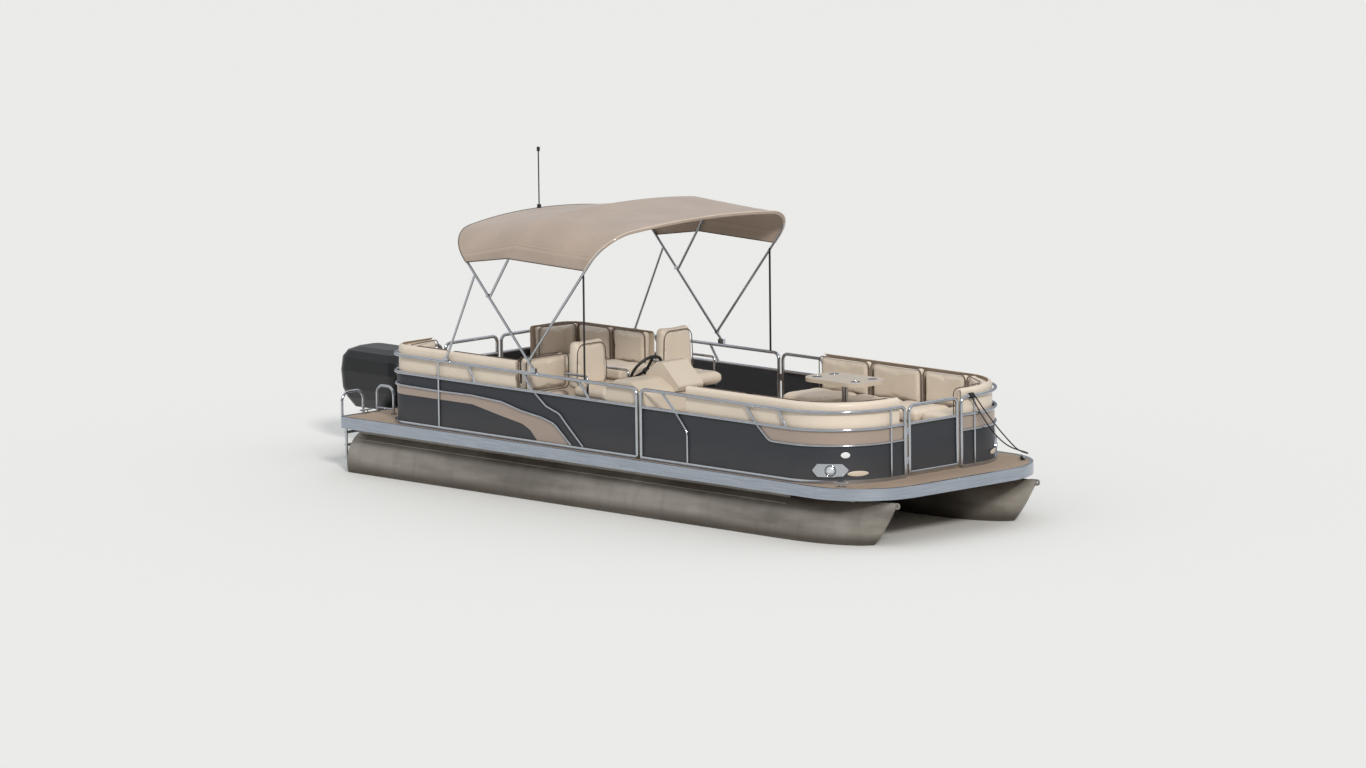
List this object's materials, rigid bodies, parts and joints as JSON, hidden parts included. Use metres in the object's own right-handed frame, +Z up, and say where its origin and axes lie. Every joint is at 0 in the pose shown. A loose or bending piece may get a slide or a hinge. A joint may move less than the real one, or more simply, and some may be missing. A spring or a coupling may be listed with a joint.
{
  "type": "pontoon boat",
  "caption": "Open deck leisure boat on round aluminium floats, with railed deck, lounge seats, helm, folding fabric canopy and outboard motor",
  "frame": {"origin": "on the waterline, at the centre line and half way along the deck", "axes": "X to the bow, Y to port, Z up"},
  "size_m": [8.248, 2.59, 3.6411],
  "materials": {
    "hull_aluminium": "weathered, matt, light water stains",
    "mill_aluminium": "mill finish",
    "deck_covering": "matt tan covering",
    "anodised_rim": "satin silver, slightly blue",
    "rail_tube": "polished",
    "dark_panel": "dark grey satin paint",
    "tan_band": "tan satin paint",
    "chrome_fitting": "polished",
    "cream_moulding": "cream semi-gloss moulding",
    "cream_vinyl": "cream vinyl, fine grain",
    "black_plastic": "black satin",
    "table_moulding": "cream gloss",
    "canopy_fabric": "woven taupe canvas",
    "black_webbing": "black woven strap",
    "black_motor": "black satin paint",
    "black_cowl": "black gloss cover",
    "black_rope": "black braided rope"
  },
  "bodies": {
    "boat": {"pontoon_starboard": "hull_aluminium", "pontoon_port": "hull_aluminium", "crossmembers": "mill_aluminium", "deck": "deck_covering", "deck_rim": "anodised_rim", "motor_pod": "hull_aluminium", "fence_aft_starboard": "rail_tube", "fence_aft_port": "rail_tube", "fence_bow_starboard": "rail_tube", "fence_bow_port": "rail_tube", "fence_panels": "dark_panel", "accent_bands": "tan_band", "cleats": "chrome_fitting", "docking_lights": "chrome_fitting", "seat_bases": "cream_moulding", "seat_cushions": "cream_vinyl", "seat_backs": "cream_vinyl", "end_back": "cream_vinyl", "chair_pedestals": "rail_tube", "console": "cream_moulding", "table_top": "table_moulding", "table_pedestal": "rail_tube", "canopy": "canopy_fabric", "canopy_frame": "rail_tube", "canopy_straps": "black_webbing", "light_pole": "black_plastic", "ladder_rail": "rail_tube", "grab_rail": "rail_tube", "motor_bracket": "black_motor", "mooring_rope": "black_rope"},
    "bow_gate": {"bow_gate": "rail_tube", "bow_gate_panel": "dark_panel"},
    "stern_gate": {"stern_gate": "rail_tube", "stern_gate_panel": "dark_panel"},
    "side_gate": {"side_gate": "rail_tube", "side_gate_panel": "dark_panel"},
    "ladder": {"ladder": "rail_tube"},
    "helm_chair": {"helm_chair_frame": "rail_tube", "helm_chair_pad": "cream_vinyl"},
    "mate_chair": {"mate_chair_frame": "rail_tube", "mate_chair_pad": "cream_vinyl"},
    "helm_wheel": {"steering_wheel": "black_plastic"},
    "motor_tilt_body": {"motor_swivel": "black_motor"},
    "motor_steer_body": {"motor_leg": "black_motor", "motor_cowl": "black_cowl"},
    "propeller": {"propeller": "black_motor"}
  },
  "joints": [
    {"name": "bow_gate_swing", "type": "hinge", "parent": "boat", "child": "bow_gate", "pos_m": [3.106, -0.3375, 0.9], "axis": [0, 0, 1], "range_deg": [0, 90]},
    {"name": "stern_gate_swing", "type": "hinge", "parent": "boat", "child": "stern_gate", "pos_m": [-2.935, -0.4575, 0.9], "axis": [0, 0, -1], "range_deg": [0, 90]},
    {"name": "side_gate_swing", "type": "hinge", "parent": "boat", "child": "side_gate", "pos_m": [-0.0835, 1.212, 0.9], "axis": [0, 0, -1], "range_deg": [0, 90]},
    {"name": "ladder_fold", "type": "hinge", "parent": "boat", "child": "ladder", "pos_m": [-3.555, -1.065, 0.48], "axis": [0, 1, 0], "range_deg": [0, 170]},
    {"name": "helm_chair_turn", "type": "hinge", "parent": "boat", "child": "helm_chair", "pos_m": [-0.575, -0.62, 0.8], "axis": [0, 0, 1], "continuous": true},
    {"name": "mate_chair_turn", "type": "hinge", "parent": "boat", "child": "mate_chair", "pos_m": [-0.575, 0.5, 0.8], "axis": [0, 0, 1], "continuous": true},
    {"name": "motor_tilt", "type": "hinge", "parent": "boat", "child": "motor_tilt_body", "pos_m": [-3.795, 0, 0.47], "axis": [0, 1, 0], "range_deg": [0, 68]},
    {"name": "motor_steer", "type": "hinge", "parent": "motor_tilt_body", "child": "motor_steer_body", "pos_m": [-3.915, 0, 0.3], "axis": [0, 0, 1], "range_deg": [-30, 30]},
    {"name": "helm_wheel_turn", "type": "hinge", "parent": "boat", "child": "helm_wheel", "pos_m": [-0.005, -0.62, 1.248], "axis": [-0.8191, 0, 0.5736], "range_deg": [-545, 545]},
    {"name": "propeller_spin", "type": "hinge", "parent": "motor_steer_body", "child": "propeller", "pos_m": [-4.405, 0, -0.33], "axis": [1, 0, 0], "continuous": true}
  ],
  "couplings": [
    {"joint": "helm_wheel_turn", "follows": "motor_steer", "ratio": -18}
  ]
}
